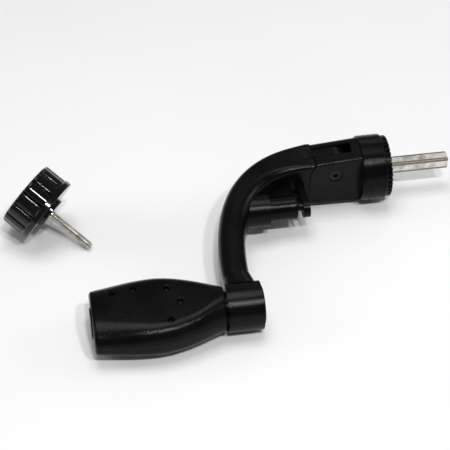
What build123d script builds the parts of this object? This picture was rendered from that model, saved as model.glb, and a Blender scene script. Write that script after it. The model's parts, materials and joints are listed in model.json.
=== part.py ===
from build123d import *
import math
import os

# Folding crank handle for a fishing reel, with its loose screw cap lying beside it.
# X runs along the drive shaft towards the reel, -Y points from the shaft to the knob, Z is up.
# The origin is on the shaft axis, in the plane of the seat ring's face. All sizes are in mm.

# Drive end
SHAFT_ACROSS_FLATS = 3.6
SHAFT_REACH = 18.0
SHAFT_ROOT_R = 3.0
SHAFT_ROOT_LEFT = -10.0
SHAFT_TAP_R = 1.25
SHAFT_TAP_DEPTH = 14.0
SHAFT_EDGE_R = 0.45
SHAFT_END_CHAMFER = 0.3
CROSS_PIN_R = 0.8
CROSS_PIN_X = -5.4
COLLAR_R = 9.4
COLLAR_LEFT = -8.6
COLLAR_RIGHT = -1.5
COLLAR_GROOVE_X = -6.4
COLLAR_GROOVE_HALF_WIDTH = 0.12
COLLAR_GROOVE_DEPTH = 0.12
COLLAR_EDGE = 0.5
SEAT_RING_R = 8.8
SEAT_RING_BORE_R = 3.3
SEAT_RING_LEFT = -3.0
SEAT_TEETH = 36
SEAT_TOOTH_DEPTH = 0.8
SEAT_TOOTH_GAP = 0.62
SPIGOT_R = 6.0

# Fork block and fold hinge
BLOCK_LEFT = -23.2
BLOCK_HALF_DEPTH = 5.4
BLOCK_BOTTOM_LEFT = -7.2
BLOCK_BOTTOM_RIGHT = -7.9
BLOCK_TOP_LEFT = 7.5
BLOCK_TOP_RIGHT = 8.8
BLOCK_BACK_EDGE_R = 3.0
BLOCK_FRONT_EDGE_R = 0.7
SLOT_WIDTH = 3.8
PIN_X = -16.0
PIN_Z = 2.9
PIN_R = 1.5
PIN_HOLE_GAP = 0.04
CHEEK_END_R = PIN_X - BLOCK_LEFT
SLOT_PAST_PIN = 5.1
SLOT_ROOT_R = 5.5
TONGUE_WIDTH = 3.2
TONGUE_END_R = 5.1
TONGUE_TOP_DROP = 0.2
WASHER_THICKNESS = 0.25
WASHER_R = 3.6
PIN_RECESS_R = 2.0
PIN_RECESS_DEPTH = 0.9
PIN_HEAD_INSET = 0.25
PIN_TAIL_INSET = 0.2
PIN_HEAD_GAP = 0.2
PIN_DIMPLE_R = 0.7
PIN_DIMPLE_DEPTH = 0.6
CLIP_GAP = 0.1
CLIP_THICKNESS = 0.4
CLIP_OPENING = 0.5
JOINT_GAP = 0.15

# Arm and knob boss
CRANK_RADIUS = 48.0
ARM_PATH = [(-23.35, 0), (-46.0, 0.4), (-51.8, -22.0), (-49.8, -48.0)]
ARM_START_SIZE = (10.4, 14.4)
ARM_END_SIZE = (7.4, 9.6)
ARM_CORNER_SHARE = (0.11, 0.42)
FLARE_START = 0.83
FLARE_START_SIZE = (9.6, 7.0)
FLARE_END_SIZE = (10.8, 8.8)
FLARE_CORNER_R = 3.0
FLARE_PAST_BOSS = 4.0
ARM_STATIONS = 8
ARM_REACH = 0.96
ARM_SLIMMING = 1.7
BOSS_R = 6.5
BOSS_LEFT = -54.2
BOSS_RIGHT = -44.8
BOSS_COVER_R = 5.4
BOSS_COVER_THICKNESS = 1.2
BOSS_COVER_RISE = 0.5
BOSS_COVER_EDGE_R = 0.4

# Lock on the front of the elbow
LOCK_Y = -13.0
LOCK_HOUSING_R = 4.6
LOCK_HOUSING_RIGHT = -36.6
LOCK_END_WALL = 4.0
LOCK_BORE_LEFT = -39.8
PLUNGER_R = 3.45
PLUNGER_LEFT = -36.9
PLUNGER_RIGHT = -28.6
LOCK_GAP = 0.08
LOCK_STROKE = 1.5
LOCK_WEB_RIGHT = -28.85
LOCK_WEB_TOP = 1.2
LOCK_WEB_BOTTOM = -3.4
LOCK_WEB_ROOT_Y = -3.6
LOCK_WEB_GAP = 0.3
SPRING_R = 1.7
SPRING_WIRE_R = 0.25
SPRING_BORE_R = 2.2
TAB_LEFT = -27.1
TAB_RIGHT = -25.2
TAB_HALF_WIDTH = 2.5
TAB_ROOT_Y = -4.5
TAB_STEM_R = 1.3
TAB_BELOW_PLUNGER = 1.0
TAB_CLEARANCE = 0.3
PLUNGER_EDGE_R = 0.6
PLUNGER_NOSE = 2.0

# Knob, along the spindle
KNOB_RIGHT = -54.6
KNOB_LEFT = -89.6
KNOB_HALF_THICKNESS = 5.25
KNOB_OUTLINE = [(-54.6, 5.9), (-62.0, 9.0), (-72.0, 11.2), (-82.0, 10.7), (-89.6, 9.5)]
SPINDLE_R = 2.2
SPINDLE_LEFT = -79.0
BUSH_R = 3.2
BUSH_LENGTH = 6.0
BUSH_MIDDLES = (KNOB_RIGHT - BUSH_LENGTH / 2, SPINDLE_LEFT + 0.5 + BUSH_LENGTH / 2)
RUN_GAP = 0.06
KNOB_RIM_R = 2.4
KNOB_WASHER_R = 4.6
KNOB_SCREW_HEAD_R = 2.4
KNOB_SCREW_HEAD_HEIGHT = 1.6
KNOB_SCREW_R = 1.0
KNOB_SCREW_REACH = 7.0
KNOB_SCREW_WASHER_R = 3.1
KNOB_SCREW_WASHER_THICKNESS = 0.5
CROSS_SLOT = (1.5, 0.25, 0.9)
CAP_RECESS_R = 4.2
END_CAP_THICKNESS = 1.4
END_CAP_RISE = 0.4
END_CAP_EDGE_R = 0.3

# Loose screw cap
CAP_R = 10.0
CAP_HEIGHT = 9.0
CAP_FLANGE_HEIGHT = 1.6
CAP_LOBES = 14
CAP_GROOVE_R = 0.6
CAP_EDGE_R = 1.0
CAP_HUB_R = 4.35
CAP_HUB_HEIGHT = 1.1
CAP_STUD_R = 1.22
CAP_STUD_REACH = 15.2
CAP_STUD_ROOT = 5.0
CAP_STUD_ROOT_R = 1.9
CAP_RIM_POINT = (-101.5, -1.5)
CAP_HEADING = -36.0

# The handle lies on its collar and its boss, so it is turned a little about the shaft.
LAY_ANGLE = math.degrees(math.asin((COLLAR_R - BOSS_R) / CRANK_RADIUS))
TABLE_Z = -COLLAR_R


def rod_x(radius, left, right, y=0.0, z=0.0):
    """Round bar along X."""
    return Pos((left + right) / 2, y, z) * Rot(0, 90, 0) * Cylinder(radius, right - left)


def rod_y(radius, low, high, x=0.0, z=0.0):
    """Round bar along Y."""
    return Pos(x, (low + high) / 2, z) * Rot(90, 0, 0) * Cylinder(radius, high - low)


def block_between(low, high):
    """Box between two corners."""
    size = [b - a for a, b in zip(low, high)]
    centre = [(a + b) / 2 for a, b in zip(low, high)]
    return Pos(*centre) * Box(*size)


def rim_edges(solid, x):
    """Circular edges of a solid that lie in one plane across X."""
    return [e for e in solid.edges().filter_by(GeomType.CIRCLE) if abs(e.center().X - x) < 0.01]


def soften(solid, edges, radius):
    """Fillet the edges."""
    return solid.fillet(radius, edges)


# ---------------------------------------------------------------- drive end

def make_drive_shaft():
    root = rod_x(SHAFT_ROOT_R, SHAFT_ROOT_LEFT, -0.3)
    bar = block_between((-1, -SHAFT_ACROSS_FLATS / 2, -SHAFT_ACROSS_FLATS / 2),
                        (SHAFT_REACH, SHAFT_ACROSS_FLATS / 2, SHAFT_ACROSS_FLATS / 2))
    bar = soften(bar, bar.edges().filter_by(Axis.X), SHAFT_EDGE_R)
    bar = chamfer(bar.faces().sort_by(Axis.X)[-1].edges(), SHAFT_END_CHAMFER)
    shaft = root + bar
    shaft -= rod_x(SHAFT_TAP_R, SHAFT_REACH - SHAFT_TAP_DEPTH, SHAFT_REACH + 1)
    shaft -= Pos(CROSS_PIN_X, 0, 0) * Cylinder(CROSS_PIN_R, 20)
    return shaft


def make_cross_pin():
    return Pos(CROSS_PIN_X, 0, 0) * Cylinder(CROSS_PIN_R, 2 * SPIGOT_R - 0.6)


def make_seat_ring():
    ring = rod_x(SEAT_RING_R, SEAT_RING_LEFT, 0)
    ring -= rod_x(SEAT_RING_BORE_R, SEAT_RING_LEFT - 1, 1)
    tooth_gap = block_between((COLLAR_RIGHT + 0.1, -SEAT_TOOTH_GAP / 2, SEAT_RING_R - SEAT_TOOTH_DEPTH),
                              (1, SEAT_TOOTH_GAP / 2, SEAT_RING_R + 1))
    for step in range(SEAT_TEETH):
        ring -= Rot(step * 360 / SEAT_TEETH, 0, 0) * tooth_gap
    return ring


def make_collar():
    collar = rod_x(COLLAR_R, COLLAR_LEFT, COLLAR_RIGHT)
    collar = soften(collar, rim_edges(collar, COLLAR_RIGHT), COLLAR_EDGE)
    collar = chamfer(rim_edges(collar, COLLAR_LEFT), COLLAR_EDGE)
    groove = rod_x(COLLAR_R + 1, COLLAR_GROOVE_X - COLLAR_GROOVE_HALF_WIDTH,
                   COLLAR_GROOVE_X + COLLAR_GROOVE_HALF_WIDTH)
    collar -= groove - rod_x(COLLAR_R - COLLAR_GROOVE_DEPTH, COLLAR_LEFT, COLLAR_RIGHT)
    collar -= rod_x(SPIGOT_R, COLLAR_LEFT - 1, COLLAR_RIGHT + 1)
    collar -= rod_x(SEAT_RING_R, SEAT_RING_LEFT, COLLAR_RIGHT + 1)
    return collar


# ---------------------------------------------------------------- fold joint

def make_fork_block():
    side = Polyline((BLOCK_LEFT, BLOCK_BOTTOM_LEFT), (COLLAR_LEFT, BLOCK_BOTTOM_RIGHT),
                    (COLLAR_LEFT, BLOCK_TOP_RIGHT), (BLOCK_LEFT, BLOCK_TOP_LEFT),
                    close=True)
    face = Plane.XZ * make_face(side)
    block = extrude(face, BLOCK_HALF_DEPTH, both=True)
    long_edges = [e for e in block.edges() if e.length > 12 and abs(e.tangent_at(0.5).X) > 0.9]
    back = [e for e in long_edges if e.center().Y > 0]
    block = soften(block, back, BLOCK_BACK_EDGE_R)
    long_edges = [e for e in block.edges() if e.length > 12 and abs(e.tangent_at(0.5).X) > 0.9]
    front = [e for e in long_edges if e.center().Y < -BLOCK_HALF_DEPTH + 0.1]
    block = soften(block, front, BLOCK_FRONT_EDGE_R)
    # Above the pin the cheek ends are round about the pin, so that the arm can fold up past them.
    corner = block_between((BLOCK_LEFT - 1, -9, PIN_Z), (PIN_X, 9, 12))
    corner -= rod_y(CHEEK_END_R, -10, 10, PIN_X, PIN_Z)
    block -= corner
    half_slot = SLOT_WIDTH / 2
    block -= block_between((BLOCK_LEFT - 1, -half_slot, -12), (PIN_X + SLOT_PAST_PIN, half_slot, 12))
    block -= rod_y(SLOT_ROOT_R, -half_slot, half_slot, PIN_X, PIN_Z)
    block -= rod_y(PIN_R, -8, 8, PIN_X, PIN_Z)
    block -= rod_y(PIN_RECESS_R, -8, -BLOCK_HALF_DEPTH + PIN_RECESS_DEPTH, PIN_X, PIN_Z)
    block -= rod_y(PIN_RECESS_R, BLOCK_HALF_DEPTH - PIN_RECESS_DEPTH, 8, PIN_X, PIN_Z)
    block += rod_x(SPIGOT_R, COLLAR_LEFT - 0.5, SEAT_RING_LEFT)
    block -= rod_x(SHAFT_ROOT_R, SHAFT_ROOT_LEFT, 1)
    block -= Pos(CROSS_PIN_X, 0, 0) * Cylinder(CROSS_PIN_R, 2 * SPIGOT_R + 2)
    return block


def make_fold_pin():
    head_y = -BLOCK_HALF_DEPTH + PIN_HEAD_INSET
    seat_y = -BLOCK_HALF_DEPTH + PIN_RECESS_DEPTH
    pin = rod_y(PIN_R, head_y, BLOCK_HALF_DEPTH - PIN_TAIL_INSET, PIN_X, PIN_Z)
    pin += rod_y(PIN_RECESS_R - PIN_HEAD_GAP, head_y, seat_y, PIN_X, PIN_Z)
    return pin - rod_y(PIN_DIMPLE_R, head_y - 1, head_y + PIN_DIMPLE_DEPTH, PIN_X, PIN_Z)


def make_fold_pin_clip():
    low = BLOCK_HALF_DEPTH - PIN_RECESS_DEPTH
    clip = rod_y(PIN_RECESS_R - CLIP_GAP, low, low + CLIP_THICKNESS, PIN_X, PIN_Z)
    clip -= rod_y(PIN_R, low - 1, low + 1, PIN_X, PIN_Z)
    opening = block_between((PIN_X - CLIP_OPENING, low - 1, PIN_Z),
                            (PIN_X + CLIP_OPENING, low + 1, PIN_Z + 3))
    return clip - opening


def make_fork_washers():
    outer = SLOT_WIDTH / 2
    inner = outer - WASHER_THICKNESS
    pair = rod_y(WASHER_R, -outer, -inner, PIN_X, PIN_Z) + rod_y(WASHER_R, inner, outer, PIN_X, PIN_Z)
    return pair - rod_y(PIN_R, -8, 8, PIN_X, PIN_Z)


# ---------------------------------------------------------------- arm

def arm_section(path, fraction):
    """Rounded section of the arm: wide at the joint, slim near the boss."""
    ease = math.sin(math.pi / 2 * min(1.0, fraction * ARM_SLIMMING))
    width = ARM_START_SIZE[0] + (ARM_END_SIZE[0] - ARM_START_SIZE[0]) * ease
    height = ARM_START_SIZE[1] + (ARM_END_SIZE[1] - ARM_START_SIZE[1]) * fraction
    corner = ARM_CORNER_SHARE[0] + (ARM_CORNER_SHARE[1] - ARM_CORNER_SHARE[0]) * ease
    plane = Plane(origin=path @ fraction, x_dir=Vector(0, 0, 1), z_dir=path % fraction)
    return plane * RectangleRounded(height, width, width * corner)


def make_crank_arm():
    path = Bezier(*ARM_PATH)
    sections = [arm_section(path, ARM_REACH * i / (ARM_STATIONS - 1)) for i in range(ARM_STATIONS)]
    arm = loft(sections)
    boss_middle = (BOSS_LEFT + BOSS_RIGHT) / 2
    flare = Plane(origin=(boss_middle, -CRANK_RADIUS + FLARE_PAST_BOSS),
                  x_dir=Vector(0, 0, 1), z_dir=(0, -1, 0))
    flare_end = flare * RectangleRounded(*FLARE_END_SIZE, FLARE_CORNER_R)
    flare_start = Plane(origin=path @ FLARE_START, x_dir=Vector(0, 0, 1), z_dir=path % FLARE_START)
    arm += loft([flare_start * RectangleRounded(*FLARE_START_SIZE, FLARE_CORNER_R), flare_end])
    # Shoulder that carries the arm's section up to the cheek ends, hollowed to swing past them.
    arm += extrude(arm_section(path, 0.0), amount=-(PIN_X - ARM_PATH[0][0]))
    relief = rod_y(CHEEK_END_R + JOINT_GAP, -10, 10, PIN_X, PIN_Z)
    relief += block_between((BLOCK_LEFT - JOINT_GAP, -10, -12), (PIN_X + 1, 10, PIN_Z))
    relief += block_between((PIN_X - 3, -10, PIN_Z), (PIN_X + 1, 10, 14))
    arm -= relief
    arm += rod_x(BOSS_R, BOSS_LEFT, BOSS_RIGHT, -CRANK_RADIUS)
    # Tongue between the cheeks.
    half = TONGUE_WIDTH / 2
    tongue = block_between((BLOCK_LEFT - 1.5, -half, PIN_Z - TONGUE_END_R), (PIN_X, half, BLOCK_TOP_RIGHT))
    tongue += rod_y(TONGUE_END_R, -half, half, PIN_X, PIN_Z)
    slope = (BLOCK_TOP_RIGHT - BLOCK_TOP_LEFT) / (COLLAR_LEFT - BLOCK_LEFT)
    top_left = BLOCK_TOP_LEFT - TONGUE_TOP_DROP
    above = Polyline((BLOCK_LEFT - 9, top_left), (BLOCK_LEFT, top_left),
                     (COLLAR_LEFT, top_left + slope * (COLLAR_LEFT - BLOCK_LEFT)),
                     (COLLAR_LEFT, 20), (BLOCK_LEFT - 9, 20), close=True)
    tongue -= extrude(Plane.XZ * make_face(above), 9, both=True)
    arm += tongue
    arm -= rod_y(PIN_R + PIN_HOLE_GAP, -10, 10, PIN_X, PIN_Z)
    # Lock housing, and the web that joins it to the front wall.
    arm += rod_x(LOCK_HOUSING_R, LOCK_BORE_LEFT - LOCK_END_WALL, LOCK_HOUSING_RIGHT, LOCK_Y)
    web = block_between((LOCK_HOUSING_RIGHT - 3, LOCK_Y, LOCK_WEB_BOTTOM),
                        (LOCK_WEB_RIGHT, LOCK_WEB_ROOT_Y, LOCK_WEB_TOP))
    web -= rod_x(PLUNGER_R + LOCK_WEB_GAP, LOCK_HOUSING_RIGHT, 0, LOCK_Y)
    arm += web
    arm -= rod_x(PLUNGER_R + LOCK_GAP, LOCK_BORE_LEFT, LOCK_HOUSING_RIGHT + 9, LOCK_Y)
    # Pocket in the front wall for the root of the thumb tab, long enough for its travel.
    arm -= block_between((TAB_LEFT - LOCK_STROKE - 0.2, -9, -TAB_HALF_WIDTH - TAB_CLEARANCE),
                         (TAB_RIGHT + 0.25, TAB_ROOT_Y + TAB_CLEARANCE, LOCK_WEB_TOP + TAB_CLEARANCE))
    # Seats for the spindle and the boss cover.
    arm -= rod_x(SPINDLE_R, BOSS_LEFT - 1, BOSS_RIGHT - BOSS_COVER_THICKNESS, -CRANK_RADIUS)
    arm -= rod_x(BOSS_COVER_R, BOSS_RIGHT - BOSS_COVER_THICKNESS, BOSS_RIGHT + 1, -CRANK_RADIUS)
    return arm


def make_boss_cover():
    cover = rod_x(BOSS_COVER_R, BOSS_RIGHT - BOSS_COVER_THICKNESS, BOSS_RIGHT + BOSS_COVER_RISE,
                  -CRANK_RADIUS)
    return soften(cover, rim_edges(cover, BOSS_RIGHT + BOSS_COVER_RISE), BOSS_COVER_EDGE_R)


# ---------------------------------------------------------------- lock

def make_lock_plunger():
    plunger = rod_x(PLUNGER_R, PLUNGER_LEFT, PLUNGER_RIGHT, LOCK_Y)
    plunger = soften(plunger, rim_edges(plunger, PLUNGER_RIGHT), PLUNGER_EDGE_R)
    plunger += rod_x(TAB_STEM_R, PLUNGER_RIGHT - 1, TAB_RIGHT - 0.2, LOCK_Y)
    plunger -= rod_x(SPRING_BORE_R, PLUNGER_LEFT - 1, PLUNGER_RIGHT - PLUNGER_NOSE, LOCK_Y)
    return plunger


def make_thumb_tab():
    tip_y = LOCK_Y - TAB_BELOW_PLUNGER
    tab = block_between((TAB_LEFT, tip_y, -TAB_HALF_WIDTH), (TAB_RIGHT, TAB_ROOT_Y, LOCK_WEB_TOP))
    tab += rod_x(TAB_HALF_WIDTH, TAB_LEFT, TAB_RIGHT, tip_y)
    tab -= rod_x(TAB_STEM_R, TAB_LEFT - 1, TAB_RIGHT + 1, LOCK_Y)
    return tab


def make_plunger_spring():
    left = LOCK_BORE_LEFT
    right = PLUNGER_RIGHT - PLUNGER_NOSE
    sleeve = rod_x(SPRING_R + SPRING_WIRE_R, left, right, LOCK_Y)
    sleeve -= rod_x(SPRING_R - SPRING_WIRE_R, left - 1, right + 1, LOCK_Y)
    return sleeve


# ---------------------------------------------------------------- knob

def make_knob_spindle():
    spindle = rod_x(SPINDLE_R, SPINDLE_LEFT, BOSS_RIGHT - BOSS_COVER_THICKNESS, -CRANK_RADIUS)
    return spindle - rod_x(KNOB_SCREW_R, SPINDLE_LEFT - 1, SPINDLE_LEFT + KNOB_SCREW_REACH + 1, -CRANK_RADIUS)


def make_knob_washer():
    washer = rod_x(KNOB_WASHER_R, KNOB_RIGHT + RUN_GAP, BOSS_LEFT, -CRANK_RADIUS)
    return washer - rod_x(SPINDLE_R, KNOB_RIGHT - 1, BOSS_LEFT + 1, -CRANK_RADIUS)


def make_knob_body():
    far = Spline(*KNOB_OUTLINE, tangents=((-0.9, 0.25), (-0.9, -0.2)))
    near = mirror(far, about=Plane.XZ)
    neck = Line(near @ 0, far @ 0)
    end = Line(far @ 1, near @ 1)
    face = make_face([neck, far, end, near])
    body = extrude(face, KNOB_HALF_THICKNESS, both=True)
    sides = [e for e in body.edges() if abs(abs(e.center().Z) - KNOB_HALF_THICKNESS) < 0.01
             and abs(e.center().Y) > 1]
    body = soften(body, sides, KNOB_RIM_R)
    body = Pos(0, -CRANK_RADIUS, 0) * body
    for middle in BUSH_MIDDLES:
        body -= rod_x(BUSH_R, middle - BUSH_LENGTH / 2, middle + BUSH_LENGTH / 2, -CRANK_RADIUS)
    body -= rod_x(SPINDLE_R + 0.4, SPINDLE_LEFT - 1, KNOB_RIGHT + 1, -CRANK_RADIUS)
    body -= rod_x(CAP_RECESS_R - 0.5, KNOB_LEFT, BUSH_MIDDLES[1] - BUSH_LENGTH / 2, -CRANK_RADIUS)
    body -= rod_x(CAP_RECESS_R, KNOB_LEFT - 1, KNOB_LEFT + END_CAP_THICKNESS, -CRANK_RADIUS)
    return body


def make_bush(middle):
    bush = rod_x(BUSH_R, middle - BUSH_LENGTH / 2, middle + BUSH_LENGTH / 2, -CRANK_RADIUS)
    return bush - rod_x(SPINDLE_R + RUN_GAP, middle - 9, middle + 9, -CRANK_RADIUS)


def make_knob_screw():
    left = SPINDLE_LEFT - KNOB_SCREW_WASHER_THICKNESS
    screw = rod_x(KNOB_SCREW_HEAD_R, left - KNOB_SCREW_HEAD_HEIGHT, left, -CRANK_RADIUS)
    screw += rod_x(KNOB_SCREW_R, left, SPINDLE_LEFT + KNOB_SCREW_REACH, -CRANK_RADIUS)
    half_length, half_width, floor = CROSS_SLOT
    cross = block_between((left - 3, -half_length, -half_width), (left - floor, half_length, half_width))
    for turn in (0, 90):
        screw -= Pos(0, -CRANK_RADIUS, 0) * Rot(turn, 0, 0) * cross
    return screw


def make_knob_screw_washer():
    left = SPINDLE_LEFT - KNOB_SCREW_WASHER_THICKNESS
    washer = rod_x(KNOB_SCREW_WASHER_R, left, SPINDLE_LEFT, -CRANK_RADIUS)
    return washer - rod_x(KNOB_SCREW_R, SPINDLE_LEFT - 2, SPINDLE_LEFT + 2, -CRANK_RADIUS)


def make_knob_end_cap():
    cap = rod_x(CAP_RECESS_R, KNOB_LEFT - END_CAP_RISE, KNOB_LEFT + END_CAP_THICKNESS, -CRANK_RADIUS)
    return soften(cap, rim_edges(cap, KNOB_LEFT - END_CAP_RISE), END_CAP_EDGE_R)


# ---------------------------------------------------------------- loose screw cap

def place_cap(piece):
    """Lay the cap on the table: it rests on the rim of its flange and on its stud's tip."""
    dip = math.degrees(math.atan2(CAP_R - CAP_STUD_R, CAP_STUD_REACH))
    # In its own frame the stud points along +X and the head's underside is at x = 0.
    down = Pos(0, 0, CAP_R) * piece
    return Pos(CAP_RIM_POINT[0], CAP_RIM_POINT[1], TABLE_Z) * Rot(0, 0, CAP_HEADING) * Rot(0, dip, 0) * down


def make_cap_head():
    head = rod_x(CAP_R, -CAP_HEIGHT, 0)
    head = soften(head, rim_edges(head, -CAP_HEIGHT), CAP_EDGE_R)
    for lobe in range(CAP_LOBES):
        turn = Rot(lobe * 360 / CAP_LOBES, 0, 0)
        head -= turn * rod_x(CAP_GROOVE_R, -CAP_HEIGHT - 1, -CAP_FLANGE_HEIGHT, 0, CAP_R + 0.1)
    head += rod_x(CAP_HUB_R, -0.5, CAP_HUB_HEIGHT)
    head -= rod_x(CAP_STUD_ROOT_R, -CAP_STUD_ROOT, CAP_HUB_HEIGHT + 1)
    return head


def make_cap_stud():
    root = rod_x(CAP_STUD_ROOT_R, -CAP_STUD_ROOT, CAP_HUB_HEIGHT)
    return root + rod_x(CAP_STUD_R, CAP_HUB_HEIGHT, CAP_STUD_REACH)


# ---------------------------------------------------------------- export

HANDLE_PIECES = {
    "drive_shaft": make_drive_shaft,
    "shaft_cross_pin": make_cross_pin,
    "seat_ring": make_seat_ring,
    "collar": make_collar,
    "fork_block": make_fork_block,
    "fold_pin": make_fold_pin,
    "fold_pin_clip": make_fold_pin_clip,
    "fork_washers": make_fork_washers,
    "crank_arm": make_crank_arm,
    "boss_cover": make_boss_cover,
    "lock_plunger": make_lock_plunger,
    "thumb_tab": make_thumb_tab,
    "plunger_spring": make_plunger_spring,
    "knob_spindle": make_knob_spindle,
    "knob_washer": make_knob_washer,
    "knob_body": make_knob_body,
    "knob_bush_inner": lambda: make_bush(BUSH_MIDDLES[0]),
    "knob_bush_outer": lambda: make_bush(BUSH_MIDDLES[1]),
    "knob_screw": make_knob_screw,
    "knob_screw_washer": make_knob_screw_washer,
    "knob_end_cap": make_knob_end_cap,
}
CAP_PIECES = {
    "cap_head": make_cap_head,
    "cap_stud": make_cap_stud,
}


def main():
    os.makedirs("parts", exist_ok=True)
    for name, make in HANDLE_PIECES.items():
        export_step(Rot(LAY_ANGLE, 0, 0) * make(), f"parts/{name}.step")
    for name, make in CAP_PIECES.items():
        export_step(place_cap(make()), f"parts/{name}.step")
    print("lay angle", round(LAY_ANGLE, 4))


main()
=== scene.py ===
import json
import math

import bmesh
import bpy
from mathutils import Matrix, Vector


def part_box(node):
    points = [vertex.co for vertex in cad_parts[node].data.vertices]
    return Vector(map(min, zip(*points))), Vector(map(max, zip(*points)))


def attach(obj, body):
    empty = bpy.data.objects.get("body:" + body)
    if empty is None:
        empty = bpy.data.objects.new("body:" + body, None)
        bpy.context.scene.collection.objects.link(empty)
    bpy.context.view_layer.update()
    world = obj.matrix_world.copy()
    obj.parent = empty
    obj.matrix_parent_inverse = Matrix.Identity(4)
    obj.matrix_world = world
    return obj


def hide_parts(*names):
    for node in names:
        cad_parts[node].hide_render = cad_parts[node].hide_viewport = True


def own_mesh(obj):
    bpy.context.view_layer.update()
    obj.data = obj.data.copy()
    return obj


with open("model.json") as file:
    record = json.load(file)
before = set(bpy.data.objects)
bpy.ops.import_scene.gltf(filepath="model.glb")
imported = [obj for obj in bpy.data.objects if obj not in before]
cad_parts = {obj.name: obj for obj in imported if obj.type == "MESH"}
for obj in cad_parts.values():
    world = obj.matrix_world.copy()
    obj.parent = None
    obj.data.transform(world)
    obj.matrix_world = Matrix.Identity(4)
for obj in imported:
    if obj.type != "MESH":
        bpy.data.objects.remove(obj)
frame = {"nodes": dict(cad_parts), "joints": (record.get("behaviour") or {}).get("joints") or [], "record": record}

bl_info = {
    "name": "Folding reel handle",
    "version": (1, 0, 0),
    "blender": (4, 5, 0),
    "location": "3D View > Sidebar > Reel Handle",
    "description": "Finishes and detailed pieces for a folding reel handle and its screw cap",
    "category": "Object",
}

MM = 0.001
MERGE_DISTANCE = 0.0004 * MM
SHARP_ANGLE = math.radians(38)
DULL_SPECULAR = 0.10

SHAFT_HALF_WIDTH = 1.8 * MM
KNOB_RING_POINTS = 208
KNOB_STATIONS = 170
KNOB_RIM_STEPS = 7
KNOB_END_STEPS = 10
KNOB_RIM_RADIUS = 0.5 * MM
KNOB_NECK_SHARE = 0.30
KNOB_END_THINNING = 0.5 * MM
KNOB_FACE_CROWN = 0.25 * MM
# Pits reach only what stands higher than this share of the half thickness.
PIT_FACE_SHARE = 0.75
# Share of the knob's length from the neck, and share of its half width towards the far side.
PIT_PLACES = ((0.83, 0.47), (0.67, 0.52), (0.42, 0.42), (0.335, -0.02), (0.425, -0.56))

POINTS_A_LOBE = 26
CAP_MOUNT_REACH = 8.0 * MM
CAP_EDGE_RADIUS = 0.7 * MM
CAP_EDGE_STEPS = 7
CAP_WAIST_INSET = 0.35 * MM
CAP_CENTRE_RADIUS = 0.02 * MM
CAP_CROWN_RISE = 0.35 * MM
# Rise of the cap's domed face, and share of its radius.
CAP_CROWN = ((0.32 * MM, 0.3), (0.2 * MM, 0.6), (0.05 * MM, 0.84))
# The hub under the cap: distance from the underside, and radius.
CAP_HUB = ((0, 5.2 * MM), (0.12 * MM, 4.75 * MM), (0.9 * MM, 4.7 * MM),
           (1.1 * MM, 4.5 * MM), (1.1 * MM, 1.7 * MM))
STUD_ROOT = -4.0 * MM
STUD_RING_POINTS = 48
STATIONS_A_THREAD = 9
SPRING_STEPS_A_TURN = 20
SPRING_WIRE_POINTS = 10

CAMERA_AIM = Vector((-47.6, -4.6, -12.3)) * MM
CAMERA_DISTANCE = 460 * MM
CAMERA_ELEVATION = math.radians(41.5)
CAMERA_AZIMUTH = math.radians(-9.0)
CAMERA_LENS = 128.0
CAMERA_SENSOR = 36.0
TABLE_HALF_WIDTH = 4.0
WORLD_STRENGTH = 0.18
LIGHT_TARGET = Vector((-0.045, -0.02, 0.0))
# Name, power in watts, width and place of each softbox.
LIGHTS = (("overhead_softbox", 1.25, 0.30, (-0.07, 0.06, 0.55)),
          ("left_softbox", 0.35, 0.20, (-0.48, 0.06, 0.20)),
          ("right_softbox", 0.35, 0.20, (0.42, 0.02, 0.22)),
          ("front_card", 1.2, 0.04, (-0.03, -0.36, 0.555)),
          ("front_right_card", 1.1, 0.04, (0.11, -0.36, 0.555)),
          ("shaft_card", 0.045, 0.12, (0.092, 0.26, 0.22)))

# The handle lies on its collar and its knob boss.
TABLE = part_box("collar")[0].z


def centre_of(node):
    """Middle of a CAD node's box."""
    low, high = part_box(node)
    return (low + high) / 2


def half_height(node):
    """Half of a CAD node's height."""
    low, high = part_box(node)
    return (high.z - low.z) / 2


def joint_named(name):
    """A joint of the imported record."""
    return next(joint for joint in frame["joints"] if joint["name"] == name)


def mount_named(name):
    """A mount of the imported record."""
    return next(mount for mount in frame["record"]["mounts"] if mount["name"] == name)


# Turn about X of the arm and the knob as they lie.
LAY_ANGLE = math.atan2(joint_named("arm_fold")["axis"][2], joint_named("arm_fold")["axis"][1])


# ---------------------------------------------------------------- shader maths

class Value:
    """A number in a material, so that shader maths reads as plain expressions."""

    def __init__(self, finish, socket):
        self.finish = finish
        self.socket = socket

    def maths(self, operation, first, second=0.0):
        return self.finish.make("ShaderNodeMath", {"operation": operation}, {0: first, 1: second})

    def __add__(self, other):
        return self.maths("ADD", self, other)

    def __sub__(self, other):
        return self.maths("SUBTRACT", self, other)

    def __mul__(self, other):
        return self.maths("MULTIPLY", self, other)

    def __rsub__(self, other):
        return self.maths("SUBTRACT", other, self)

    def __abs__(self):
        return self.maths("ABSOLUTE", self)

    __radd__ = __add__
    __rmul__ = __mul__


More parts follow.
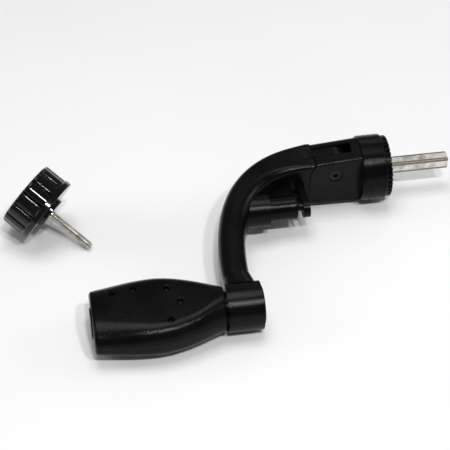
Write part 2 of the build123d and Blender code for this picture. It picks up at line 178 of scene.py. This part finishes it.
class Finish:
    """A material that is built one node at a time."""

    def __init__(self, name):
        self.material = bpy.data.materials.new(name)
        self.material.use_nodes = True
        self.nodes = self.material.node_tree.nodes
        self.links = self.material.node_tree.links
        self.shader = self.nodes["Principled BSDF"]
        self.place = self.make("ShaderNodeTexCoord", outlet="Object")

    def make(self, kind, settings=None, sockets=None, outlet=0):
        """Add a node: its settings first, then its sockets' values or links."""
        node = self.nodes.new(kind)
        for name, setting in (settings or {}).items():
            if name == "stops":
                self.set_stops(node.color_ramp.elements, setting)
            else:
                setattr(node, name, setting)
        for name, value in (sockets or {}).items():
            self.feed(node.inputs[name], value)
        return Value(self, node.outputs[outlet])

    def set_stops(self, elements, stops):
        while len(elements) < len(stops):
            elements.new(1.0)
        for element, (position, colour) in zip(elements, stops):
            element.position = position
            element.color = colour

    def feed(self, socket, value):
        if isinstance(value, Value):
            self.links.new(value.socket, socket)
        else:
            socket.default_value = value

    def noise(self, size, detail=3.0, stretch=(1.0, 1.0, 1.0), rough=0.55):
        """Cloudy pattern whose features are about size metres across."""
        place = self.make("ShaderNodeMapping", None,
                          {"Vector": self.place, "Scale": stretch}, "Vector")
        return self.make("ShaderNodeTexNoise", None,
                         {"Vector": place, "Scale": 1.0 / size, "Detail": detail, "Roughness": rough}, 0)

    def cells(self, size):
        """Small rounded cells, as in a moulded or sprayed grain."""
        return self.make("ShaderNodeTexVoronoi", {"feature": "F1"},
                         {"Vector": self.place, "Scale": 1.0 / size}, "Distance")

    def ramp(self, value, stops):
        """Map a number to a colour through a list of stops."""
        return self.make("ShaderNodeValToRGB", {"stops": stops}, {"Fac": value}, "Color")

    def band(self, value, low, high):
        """0 below low, 1 above high."""
        return self.make("ShaderNodeMapRange", {"interpolation_type": "SMOOTHSTEP"},
                         {"Value": value, "From Min": low, "From Max": high}, 0)

    def bump(self, height, strength, depth):
        """Surface relief from a height pattern."""
        normal = self.make("ShaderNodeBump", None,
                           {"Height": height, "Strength": strength, "Distance": depth}, "Normal")
        self.feed(self.shader.inputs["Normal"], normal)

    def set(self, **inputs):
        """Set the shader's own sockets; an underscore in a name stands for a space."""
        for name, value in inputs.items():
            self.feed(self.shader.inputs[name.replace("_", " ")], value)


def grey(level, warm=0.0):
    """A neutral colour, slightly warm if asked."""
    return (level, level * (1 - 0.4 * warm), level * (1 - 2 * warm), 1.0)


def shade(colour, share):
    """A share of a colour, as a shader takes it."""
    return tuple(share * part for part in colour) + (1.0,)


# ---------------------------------------------------------------- finishes

def satin_paint(colour):
    """Sprayed satin black over die-cast metal: faint orange peel, dust and rubbed patches."""
    finish = Finish("satin_black_paint")
    peel = finish.noise(0.55 * MM, 4.0)
    grain = finish.cells(0.16 * MM)
    cloud = finish.noise(9 * MM, 4.0)
    dark = shade(colour, 0.06)
    light = shade(colour, 0.17)
    finish.set(Base_Color=finish.ramp(cloud, [(0.35, dark), (0.68, light)]),
               Roughness=0.10 + 0.10 * cloud + 0.08 * grain,
               Coat_Weight=0.02 + 0.05 * cloud, Coat_Roughness=0.22, Specular_IOR_Level=DULL_SPECULAR)
    finish.bump(peel * 1.1 + grain * 0.5, 1.0, 0.030 * MM)
    return finish.material


def fine_moulding(colour):
    """Satin nylon moulding with the fine spark grain of its tool."""
    finish = Finish("satin_black_moulding")
    grain = finish.cells(0.13 * MM)
    speck = finish.noise(0.3 * MM, 5.0, rough=0.7)
    cloud = finish.noise(7 * MM, 3.0)
    dark = shade(colour, 0.06)
    light = shade(colour, 0.18)
    finish.set(Base_Color=finish.ramp(speck * 0.5 + cloud * 0.5, [(0.35, dark), (0.7, light)]),
               Roughness=0.06 + 0.16 * speck + 0.05 * cloud, Specular_IOR_Level=DULL_SPECULAR)
    finish.bump(grain * 0.5 + speck * 1.2, 1.0, 0.020 * MM)
    return finish.material


def soft_grip(colour):
    """Rubberised paddle knob: close matt grain with a low sheen and faint rub marks."""
    finish = Finish("soft_black_grip")
    grain = finish.cells(0.22 * MM)
    speck = finish.noise(0.42 * MM, 5.0, rough=0.65)
    cloud = finish.noise(8 * MM, 4.0)
    rub = finish.band(finish.noise(2.4 * MM, 6.0, (0.35, 1.0, 1.0)), 0.56, 0.72)
    dark = shade(colour, 0.06)
    light = shade(colour, 0.18)
    finish.set(Base_Color=finish.ramp(cloud * 0.7 + speck * 0.3, [(0.35, dark), (0.7, light)]),
               Roughness=0.06 + 0.16 * speck + 0.05 * cloud - 0.03 * rub,
               Specular_IOR_Level=DULL_SPECULAR)
    finish.bump(grain * 0.5 + speck * 1.2, 1.0, 0.03 * MM)
    return finish.material


def gloss_moulding(colour):
    """Glossy black cap: almost a mirror, with faint sink marks and hairlines."""
    finish = Finish("gloss_black_moulding")
    sink = finish.noise(2.6 * MM, 2.0)
    haze = finish.noise(1.1 * MM, 6.0, rough=0.7)
    hairline = finish.band(finish.noise(0.5 * MM, 2.0, (0.08, 1.0, 1.0)), 0.66, 0.74)
    dark = shade(colour, 0.1)
    light = shade(colour, 0.18)
    finish.set(Base_Color=finish.ramp(haze, [(0.3, dark), (0.7, light)]),
               Roughness=0.07 + 0.09 * haze + 0.06 * hairline,
               Coat_Weight=0.10 + 0.15 * sink, Coat_Roughness=0.06, Specular_IOR_Level=0.3)
    finish.bump(sink * 0.8 + haze * 0.12, 0.25, 0.06 * MM)
    return finish.material


def nickel_plate(colour, half_width=None):
    """Bright nickel plate over drawn steel: lengthwise draw lines and warm handling stains.

    A square bar's half width adds painted shade along its long edges, as a dark line between its faces.
    """
    finish = Finish("nickel_plate")
    draw = finish.noise(0.35 * MM, 4.0, (0.06, 1.0, 1.0))
    stain_and_edge_shade = finish.noise(3.2 * MM, 5.0, rough=0.65)
    pit = finish.band(finish.noise(0.5 * MM, 3.0), 0.66, 0.74)
    level = sum(colour) / 3
    bright = grey(level * 1.05, 0.04)
    # Colour of the random handling stains, and of the painted shade along a square bar's edges.
    stain_and_edge_shade_colour = grey(level * 0.30, 0.10)
    # Painted shade: a dark band along a square bar's long edges, added to the stain mask.
    if half_width:
        across, up = (finish.make("ShaderNodeSeparateXYZ", None, {"Vector": finish.place}, axis)
                      for axis in "YZ")
        reach = abs(across) + abs(up)
        stain_and_edge_shade = stain_and_edge_shade + 1.2 * finish.band(reach, half_width * 1.52, half_width * 1.70)
    finish.set(Base_Color=finish.ramp(stain_and_edge_shade, [(0.44, bright), (0.80, stain_and_edge_shade_colour)]), Metallic=1.0,
               Roughness=0.15 + 0.12 * stain_and_edge_shade + 0.10 * draw + 0.12 * pit)
    finish.bump(draw * 0.8 - pit * 0.5, 0.35, 0.02 * MM)
    return finish.material


def turned_steel(colour):
    """Plain steel pins and screws with fine turning marks and a trace of oil."""
    finish = Finish("turned_steel")
    marks = finish.noise(0.12 * MM, 3.0, (1.0, 0.15, 1.0))
    oil = finish.noise(1.8 * MM, 4.0)
    bright = shade(colour, 1.0)
    dull = shade(colour, 0.6)
    finish.set(Base_Color=finish.ramp(oil, [(0.35, bright), (0.75, dull)]), Metallic=1.0,
               Roughness=0.22 + 0.14 * oil + 0.10 * marks)
    finish.bump(marks, 0.3, 0.015 * MM)
    return finish.material


def black_steel(colour):
    """Oil-blackened steel pins, rubbed brighter in places."""
    finish = Finish("blackened_steel")
    oil = finish.noise(0.9 * MM, 4.0)
    rub = finish.noise(0.25 * MM, 3.0)
    dark = shade(colour, 0.25)
    worn = shade(colour, 1.0)
    finish.set(Base_Color=finish.ramp(oil, [(0.45, dark), (0.85, worn)]), Metallic=0.9,
               Roughness=0.12 + 0.12 * oil + 0.06 * rub)
    finish.bump(rub, 0.3, 0.015 * MM)
    return finish.material


def natural_nylon(colour):
    """Milky bearing nylon with a waxy surface."""
    finish = Finish("natural_nylon")
    milk = finish.noise(1.5 * MM, 4.0)
    wax = finish.noise(0.3 * MM, 3.0)
    light = shade(colour, 1.0)
    deep = shade(colour, 0.85)
    finish.set(Base_Color=finish.ramp(milk, [(0.35, deep), (0.7, light)]),
               Roughness=0.38 + 0.14 * wax)
    finish.bump(wax, 0.25, 0.02 * MM)
    return finish.material


def table_paper():
    """Plain pale table top."""
    finish = Finish("pale_table")
    cloud = finish.noise(90 * MM, 3.0)
    fibre = finish.noise(0.8 * MM, 4.0)
    finish.set(Base_Color=finish.ramp(cloud, [(0.3, grey(0.88)), (0.7, grey(0.905))]),
               Roughness=0.55 + 0.1 * fibre)
    finish.bump(fibre, 0.06, 0.05 * MM)
    return finish.material


SLOT_MAKERS = {
    "black_paint": satin_paint,
    "black_moulding": fine_moulding,
    "soft_black": soft_grip,
    "gloss_black": gloss_moulding,
    "plated_steel": nickel_plate,
    "plain_steel": turned_steel,
    "black_steel": black_steel,
    "nylon": natural_nylon,
}
finishes = {}


# ---------------------------------------------------------------- mesh helpers

def new_piece(name, mesh, slot, body, node, place):
    """Turn a bmesh into a finished piece that stands for a CAD node and moves with its body."""
    bmesh.ops.transform(mesh, matrix=place, verts=mesh.verts)
    bmesh.ops.remove_doubles(mesh, verts=mesh.verts, dist=MERGE_DISTANCE)
    bmesh.ops.recalc_face_normals(mesh, faces=mesh.faces)
    data = bpy.data.meshes.new(name)
    mesh.to_mesh(data)
    mesh.free()
    data.materials.append(finishes[slot])
    data.polygons.foreach_set("use_smooth", [True] * len(data.polygons))
    data.set_sharp_from_angle(angle=SHARP_ANGLE)
    piece = bpy.data.objects.new(name, data)
    bpy.context.scene.collection.objects.link(piece)
    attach(piece, body)
    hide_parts(node)
    return piece


def loft_rings(mesh, ring_size, stations):
    """Extrude one ring of points through stations along X; each station moves the ring's points."""
    ring = bmesh.ops.create_circle(mesh, cap_ends=False, segments=ring_size, radius=1.0)["verts"]
    edges = list({edge for vert in ring for edge in vert.link_edges})
    rings = [list(ring)]
    for _ in range(len(stations) - 1):
        grown = bmesh.ops.extrude_edge_only(mesh, edges=edges)["geom"]
        edges = [item for item in grown if isinstance(item, bmesh.types.BMEdge)]
        fresh = {item for item in grown if isinstance(item, bmesh.types.BMVert)}
        rings.append([next(edge.other_vert(vert) for edge in vert.link_edges
                           if edge.other_vert(vert) in fresh) for vert in rings[-1]])
    for ring_verts, station in zip(rings, stations):
        for index, vert in enumerate(ring_verts):
            vert.co = station(index / ring_size)


def close_ends(mesh):
    """Cap a loft's open ends with flat faces."""
    bmesh.ops.holes_fill(mesh, edges=[edge for edge in mesh.edges if edge.is_boundary], sides=0)


def rounded_box_point(share, half_width, half_height, corner_width, corner_height):
    """Point on a rectangle with elliptical corners, a share of the way round it."""
    flat_w = half_width - corner_width
    flat_h = half_height - corner_height
    arc = math.pi / 4 * (corner_width + corner_height)
    left = share * 4 * (flat_w + flat_h + arc)
    for step in range(4):
        side = 1 if step in (0, 3) else -1
        rise = 1 if step < 2 else -1
        run = 2 * (flat_w if step % 2 == 0 else flat_h)
        angle = math.pi / 2 * (step + min(left, arc) / arc)
        y = side * flat_w + corner_width * math.cos(angle)
        z = rise * flat_h + corner_height * math.sin(angle)
        if left <= arc:
            return y, z
        left -= arc
        if left <= run:
            along = math.pi / 2 * (step + 2)
            return y + left * math.cos(along), z + left * math.sin(along)
        left -= run
    return half_width, flat_h


def smooth(amount):
    """Ease from 0 to 1."""
    amount = max(0.0, min(1.0, amount))
    return amount * amount * (3 - 2 * amount)


def spread(low, high, count):
    """Evenly spaced values, both ends included."""
    return [low + (high - low) * step / (count - 1) for step in range(count)]


# ---------------------------------------------------------------- pieces

def knob_half_width(share, sizes):
    """Half width of the paddle a share of the way from the neck to its blunt end."""
    neck, belly, end = sizes.knob_neck_radius, sizes.knob_half_width, sizes.knob_end_half_width
    peak = sizes.knob_belly_place
    if share < peak:
        return neck + (belly - neck) * math.sin(math.pi / 2 * share / peak) ** 1.15
    return end + (belly - end) * math.cos(math.pi / 2 * (share - peak) / (1 - peak)) ** 1.1


def build_knob(sizes):
    """Paddle knob with a flat face, a fat rounded rim, a round neck and shallow pits."""
    low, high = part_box("knob_body")
    length = high.x - low.x
    middle = centre_of("knob_bush_inner")
    mesh = bmesh.new()
    edge = sizes.knob_edge_radius

    def station(share, shrink):
        neck_blend = smooth(share / KNOB_NECK_SHARE)
        width = knob_half_width(share, sizes) - shrink
        height = sizes.knob_neck_radius + (sizes.knob_half_thickness - sizes.knob_neck_radius) * neck_blend
        height -= KNOB_END_THINNING * smooth((share - 0.6) / 0.4) + shrink
        corner_height = height * (0.98 - 0.16 * neck_blend)
        corner_width = min(width * 0.98, height * 0.98 + (sizes.rim_reach - height * 0.98) * neck_blend
                           + sizes.end_rim_growth * smooth((share - 0.45) / 0.55))
        x = high.x - share * length

        def point(turn):
            y, z = rounded_box_point(turn, width, height, corner_width, corner_height)
            crown = KNOB_FACE_CROWN * neck_blend * (1 - min(1.0, abs(y) / width) ** 2)
            return Vector((x, y, z + math.copysign(crown, z) * (1 if abs(z) > 0.6 * height else 0)))
        return point

    def round_ring(x, radius):
        def point(turn):
            angle = 2 * math.pi * turn
            return Vector((x, radius * math.cos(angle), radius * math.sin(angle)))
        return point

    bore_radius = half_height("knob_bush_inner")
    recess_radius = half_height("knob_end_cap")
    recess_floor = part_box("knob_end_cap")[1].x
    # The ring of points starts at the bore's mouth in the neck and comes back to it through the bore.
    stations = [round_ring(high.x, bore_radius)]
    for turn in spread(0, math.pi / 2, KNOB_RIM_STEPS):
        stations.append(station(KNOB_RIM_RADIUS * (1 - math.cos(turn)) / length,
                                KNOB_RIM_RADIUS * (1 - math.sin(turn))))
    last = 1 - edge / length
    stations += [station(share, 0.0) for share in spread(KNOB_RIM_RADIUS / length, last, KNOB_STATIONS)[1:-1]]
    for turn in spread(0, math.pi / 2, KNOB_END_STEPS):
        stations.append(station(last + edge * math.sin(turn) / length, edge * (1 - math.cos(turn))))
    stations += [round_ring(low.x, recess_radius), round_ring(recess_floor, recess_radius),
                 round_ring(recess_floor, bore_radius), round_ring(high.x, bore_radius)]
    loft_rings(mesh, KNOB_RING_POINTS, stations)
    # Shallow round pits in the flat face.
    radius = sizes.pit_radius
    for along, across in PIT_PLACES:
        pit = Vector((high.x - along * length, across * sizes.knob_half_width, 0))
        for vert in mesh.verts:
            if vert.co.z < PIT_FACE_SHARE * sizes.knob_half_thickness:
                continue
            away = math.hypot(vert.co.x - pit.x, vert.co.y - pit.y)
            if away < radius:
                vert.co.z -= sizes.pit_depth * smooth((1 - away / radius) * 2.2)
    place = Matrix.Translation((0, middle.y, middle.z)) @ Matrix.Rotation(LAY_ANGLE, 4, "X")
    new_piece("paddle_knob", mesh, "soft_black", "knob", "knob_body", place)


def cap_place():
    """Matrix from the cap's own frame, with its stud along +X from the underside, to its place."""
    mount = mount_named("cap_stud")
    axis = Vector(mount["axis"]).normalized()
    start = Vector(mount["pos_m"]) - axis * CAP_MOUNT_REACH
    side = Vector((0, 0, 1)).cross(axis).normalized()
    up = axis.cross(side)
    turn = Matrix((axis, side, up)).transposed().to_4x4()
    return Matrix.Translation(start) @ turn


def build_cap_head(sizes):
    """Fluted thumb cap: domed face, lobed side, plain flange and a stepped hub."""
    mesh = bmesh.new()
    radius = sizes.cap_radius
    top_radius = sizes.cap_top_radius
    height = sizes.cap_height
    groove = sizes.cap_groove_depth
    flange = sizes.cap_flange_height
    profile = [(-height - CAP_CROWN_RISE, CAP_CENTRE_RADIUS)]
    profile += [(-height - rise, top_radius * share) for rise, share in CAP_CROWN]
    for turn in spread(0, math.pi / 2, CAP_EDGE_STEPS):
        profile.append((-height + CAP_EDGE_RADIUS * (1 - math.cos(turn)),
                        top_radius - CAP_EDGE_RADIUS * (1 - math.sin(turn))))
    waist = radius - CAP_WAIST_INSET
    for share in spread(0, 1, 10)[1:]:
        profile.append((-height + CAP_EDGE_RADIUS + (height - CAP_EDGE_RADIUS - flange - 0.2 * MM) * share,
                        top_radius + (waist - top_radius) * share))
    profile += [(-flange, radius - 0.12 * MM), (-flange + 0.15 * MM, radius), (-0.2 * MM, radius),
                (0, radius - 0.2 * MM), *CAP_HUB]

    def station(x, reach):
        fluted = smooth((-flange - x) / (0.3 * MM)) * smooth((reach - top_radius * 0.9) / (top_radius * 0.08))

        def point(turn):
            phase = turn * sizes.cap_lobes
            away = abs(phase - round(phase))
            cut = smooth(1 - away / 0.10)
            swell = sizes.cap_lobe_swell * (0.5 + 0.5 * math.cos(2 * math.pi * phase))
            local = reach - fluted * (groove * cut + swell)
            angle = 2 * math.pi * turn
            return Vector((x, local * math.cos(angle), local * math.sin(angle)))
        return point

    loft_rings(mesh, sizes.cap_lobes * POINTS_A_LOBE, [station(x, reach) for x, reach in profile])
    close_ends(mesh)
    new_piece("thumb_cap", mesh, "gloss_black", "screw_cap", "cap_head", cap_place())


def build_cap_stud(sizes):
    """Screw-cut stud of the cap, with a pointed lead-in."""
    mesh = bmesh.new()
    high = sizes.stud_reach
    pitch = sizes.thread_pitch
    count = int((high - STUD_ROOT) / pitch * STATIONS_A_THREAD)

    def station(x):
        start = smooth((x - 1.3 * MM) / (0.5 * MM))
        lead_in = smooth((high - x) / (0.7 * MM))

        def point(turn):
            phase = (x / pitch - turn) % 1.0
            flank = abs(2 * phase - 1)
            depth = sizes.thread_depth * smooth(1 - flank) * start
            local = (sizes.stud_radius - depth) * (0.8 + 0.2 * lead_in)
            angle = 2 * math.pi * turn
            return Vector((x, local * math.cos(angle), local * math.sin(angle)))
        return point

    loft_rings(mesh, STUD_RING_POINTS, [station(x) for x in spread(STUD_ROOT, high, count)])
    close_ends(mesh)
    new_piece("cap_screw", mesh, "plated_steel", "screw_cap", "cap_stud", cap_place())


def build_spring(sizes):
    """Coil spring behind the lock plunger."""
    low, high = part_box("plunger_spring")
    middle = centre_of("plunger_spring")
    coil = (high.y - low.y) / 2 - sizes.spring_wire_radius
    turns = sizes.spring_turns
    reach = high.x - low.x - 2 * sizes.spring_wire_radius
    mesh = bmesh.new()
    wire = bmesh.ops.create_circle(mesh, cap_ends=True, segments=SPRING_WIRE_POINTS,
                                   radius=sizes.spring_wire_radius)
    bmesh.ops.translate(mesh, vec=(0, coil, 0), verts=wire["verts"])
    steps = int(turns * SPRING_STEPS_A_TURN)
    geometry = mesh.verts[:] + mesh.edges[:] + mesh.faces[:]
    bmesh.ops.spin(mesh, geom=geometry, cent=(0, 0, 0), axis=(1, 0, 0), dvec=(reach / steps, 0, 0),
                   angle=2 * math.pi * turns, steps=steps, use_merge=False, use_duplicate=False)
    place = Matrix.Translation((low.x + sizes.spring_wire_radius, middle.y, middle.z))
    piece = new_piece("lock_spring", mesh, "plain_steel", "arm", "plunger_spring", place)
    stroke = joint_named("lock_slide")["range_m"][1]
    1 - stroke / (high.x - low.x)
    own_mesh(piece)


# ---------------------------------------------------------------- properties

class HandleSizes(bpy.types.PropertyGroup):
    """Sizes of the detailed pieces."""
    length = {"subtype": "DISTANCE", "unit": "LENGTH"}
    knob_neck_radius: bpy.props.FloatProperty(
        name="Neck radius", description="Radius of the knob's round neck", default=5.9 * MM, **length)
    knob_half_width: bpy.props.FloatProperty(
        name="Paddle half width", description="Half of the paddle's widest place",
        default=11.2 * MM, **length)
    knob_end_half_width: bpy.props.FloatProperty(
        name="End half width", description="Half of the blunt end's width", default=9.6 * MM, **length)
    knob_half_thickness: bpy.props.FloatProperty(
        name="Paddle half thickness", description="Half of the paddle's thickness",
        default=5.1 * MM, **length)
    knob_belly_place: bpy.props.FloatProperty(
        name="Belly place", description="Share of the length at which the paddle is widest", default=0.54)
    rim_reach: bpy.props.FloatProperty(
        name="Rim reach", description="How far the paddle's rounded rim reaches in",
        default=4.2 * MM, **length)
    end_rim_growth: bpy.props.FloatProperty(
        name="End rim growth", description="Extra reach of the rim at the blunt end",
        default=2.6 * MM, **length)
    knob_edge_radius: bpy.props.FloatProperty(
        name="End edge radius", description="Rounding of the blunt end's edge", default=0.9 * MM, **length)
    pit_radius: bpy.props.FloatProperty(
        name="Pit radius", description="Radius of a pit in the paddle's face", default=1.0 * MM, **length)
    pit_depth: bpy.props.FloatProperty(
        name="Pit depth", description="Depth of a pit in the paddle's face", default=1.1 * MM, **length)
    cap_radius: bpy.props.FloatProperty(
        name="Cap radius", description="Radius of the screw cap's flange", default=10.0 * MM, **length)
    cap_top_radius: bpy.props.FloatProperty(
        name="Cap top radius", description="Radius of the screw cap's outer face", default=9.6 * MM, **length)
    cap_height: bpy.props.FloatProperty(
        name="Cap height", description="Height of the screw cap's head", default=8.65 * MM, **length)
    cap_flange_height: bpy.props.FloatProperty(
        name="Flange height", description="Height of the plain flange", default=1.7 * MM, **length)
    cap_lobes: bpy.props.IntProperty(
        name="Cap lobes", description="Number of lobes round the cap", default=14, min=3)
    cap_groove_depth: bpy.props.FloatProperty(
        name="Groove depth", description="Depth of the grooves between lobes", default=0.6 * MM, **length)
    cap_lobe_swell: bpy.props.FloatProperty(
        name="Lobe swell", description="How far a lobe's middle stands out", default=0.22 * MM, **length)
    stud_radius: bpy.props.FloatProperty(
        name="Stud radius", description="Outer radius of the cap's stud", default=1.22 * MM, **length)
    stud_reach: bpy.props.FloatProperty(
        name="Stud reach", description="Length of the stud from the cap's underside",
        default=15.2 * MM, **length)
    thread_pitch: bpy.props.FloatProperty(
        name="Thread pitch", description="Pitch of the stud's thread", default=0.5 * MM, **length)
    thread_depth: bpy.props.FloatProperty(
        name="Thread depth", description="Depth of the stud's thread", default=0.32 * MM, **length)
    spring_wire_radius: bpy.props.FloatProperty(
        name="Spring wire radius", description="Radius of the spring's wire", default=0.22 * MM, **length)
    spring_turns: bpy.props.FloatProperty(
        name="Spring turns", description="Turns of the lock spring", default=7.0, min=2.0)


def colour_property(title, slot):
    """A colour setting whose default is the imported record's colour of that slot."""
    entry = next(item for item in frame["record"]["materials"] if item["slot"] == slot)
    return bpy.props.FloatVectorProperty(name=title, description=f"Base colour of the {title.lower()}",
                                         subtype="COLOR", size=3, min=0.0, max=1.0,
                                         default=entry["base_color"][:3])


class HandleColours(bpy.types.PropertyGroup):
    """Base colours of the finishes."""
    black_paint: colour_property("Satin paint", "black_paint")
    black_moulding: colour_property("Fine moulding", "black_moulding")
    soft_black: colour_property("Soft grip", "soft_black")
    gloss_black: colour_property("Gloss moulding", "gloss_black")
    plated_steel: colour_property("Nickel plate", "plated_steel")
    plain_steel: colour_property("Turned steel", "plain_steel")
    black_steel: colour_property("Blackened steel", "black_steel")
    nylon: colour_property("Natural nylon", "nylon")


# ---------------------------------------------------------------- operators

class HANDLE_OT_finishes(bpy.types.Operator):
    """Give every CAD node its finish"""
    bl_idname = "handle.finishes"
    bl_label = "Finishes"

    def execute(self, context):
        colours = context.scene.handle_colours
        for slot, maker in SLOT_MAKERS.items():
            finishes[slot] = maker(tuple(getattr(colours, slot)))
        slots = {entry["node"]: entry["material_slot"] for entry in frame["record"]["subparts"]}
        for name, node in frame["nodes"].items():
            node.data.materials.clear()
            node.data.materials.append(finishes[slots[name]])
        shaft = frame["nodes"]["drive_shaft"]
        # The shaft's plate gets painted shade along its long edges.
        shaft.data.materials[0] = nickel_plate(tuple(colours.plated_steel), SHAFT_HALF_WIDTH)
        return {"FINISHED"}


class HANDLE_OT_knob(bpy.types.Operator):
    """Build the paddle knob"""
    bl_idname = "handle.knob"
    bl_label = "Paddle knob"

    def execute(self, context):
        build_knob(context.scene.handle_sizes)
        return {"FINISHED"}


class HANDLE_OT_cap(bpy.types.Operator):
    """Build the screw cap's fluted head and its threaded stud"""
    bl_idname = "handle.cap"
    bl_label = "Screw cap"

    def execute(self, context):
        build_cap_head(context.scene.handle_sizes)
        build_cap_stud(context.scene.handle_sizes)
        return {"FINISHED"}


class HANDLE_OT_spring(bpy.types.Operator):
    """Build the coil spring of the lock"""
    bl_idname = "handle.spring"
    bl_label = "Lock spring"

    def execute(self, context):
        build_spring(context.scene.handle_sizes)
        return {"FINISHED"}


def add_light(name, power, size, place):
    """A square softbox that faces the handle."""
    data = bpy.data.lights.new(name, "AREA")
    data.energy = power
    data.size = size
    lamp = bpy.data.objects.new(name, data)
    lamp.location = place
    lamp.rotation_euler = (LIGHT_TARGET - Vector(place)).to_track_quat("-Z", "Y").to_euler()
    bpy.context.scene.collection.objects.link(lamp)


class HANDLE_OT_stage(bpy.types.Operator):
    """Set the table, the soft studio light and the camera"""
    bl_idname = "handle.stage"
    bl_label = "Stage"

    def execute(self, context):
        mesh = bmesh.new()
        bmesh.ops.create_grid(mesh, x_segments=4, y_segments=4, size=TABLE_HALF_WIDTH)
        bmesh.ops.translate(mesh, vec=(0, 0, TABLE), verts=mesh.verts)
        data = bpy.data.meshes.new("table_top")
        mesh.to_mesh(data)
        mesh.free()
        data.materials.append(table_paper())
        floor = bpy.data.objects.new("table_top", data)
        context.scene.collection.objects.link(floor)
        world = bpy.data.worlds.new("studio")
        world.use_nodes = True
        world.node_tree.nodes["Background"].inputs["Color"].default_value = (1.0, 1.0, 1.0, 1.0)
        world.node_tree.nodes["Background"].inputs["Strength"].default_value = WORLD_STRENGTH
        context.scene.world = world
        for name, power, size, place in LIGHTS:
            add_light(name, power, size, place)
        back = Vector((math.sin(CAMERA_AZIMUTH) * math.cos(CAMERA_ELEVATION),
                       -math.cos(CAMERA_AZIMUTH) * math.cos(CAMERA_ELEVATION),
                       math.sin(CAMERA_ELEVATION)))
        lens = bpy.data.cameras.new("view_camera")
        lens.lens = CAMERA_LENS
        lens.sensor_width = CAMERA_SENSOR
        camera = bpy.data.objects.new("view_camera", lens)
        camera.location = CAMERA_AIM + back * CAMERA_DISTANCE
        camera.rotation_euler = back.to_track_quat("Z", "Y").to_euler()
        context.scene.collection.objects.link(camera)
        context.scene.camera = camera
        context.scene.view_settings.view_transform = "Standard"
        return {"FINISHED"}


class HANDLE_PT_panel(bpy.types.Panel):
    """Lists the handle's pieces in the sidebar"""
    bl_label = "Reel Handle"
    bl_idname = "HANDLE_PT_panel"
    bl_space_type = "VIEW_3D"
    bl_region_type = "UI"
    bl_category = "Reel Handle"

    def draw(self, context):
        for operator in OPERATORS:
            self.layout.operator(operator.bl_idname)
        for name in HandleSizes.__annotations__:
            self.layout.prop(context.scene.handle_sizes, name)
        for name in HandleColours.__annotations__:
            self.layout.prop(context.scene.handle_colours, name)


OPERATORS = (HANDLE_OT_finishes, HANDLE_OT_knob, HANDLE_OT_cap, HANDLE_OT_spring, HANDLE_OT_stage)
CLASSES = (HandleSizes, HandleColours) + OPERATORS + (HANDLE_PT_panel,)


def register():
    for cls in CLASSES:
        bpy.utils.register_class(cls)
    bpy.types.Scene.handle_sizes = bpy.props.PointerProperty(type=HandleSizes)
    bpy.types.Scene.handle_colours = bpy.props.PointerProperty(type=HandleColours)


def unregister():
    del bpy.types.Scene.handle_colours
    del bpy.types.Scene.handle_sizes
    for cls in reversed(CLASSES):
        bpy.utils.unregister_class(cls)


def main():
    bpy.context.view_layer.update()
    register()
    bpy.ops.handle.finishes()
    bpy.ops.handle.knob()
    bpy.ops.handle.cap()
    bpy.ops.handle.spring()
    bpy.ops.handle.stage()


if __name__ == "__main__":
    main()
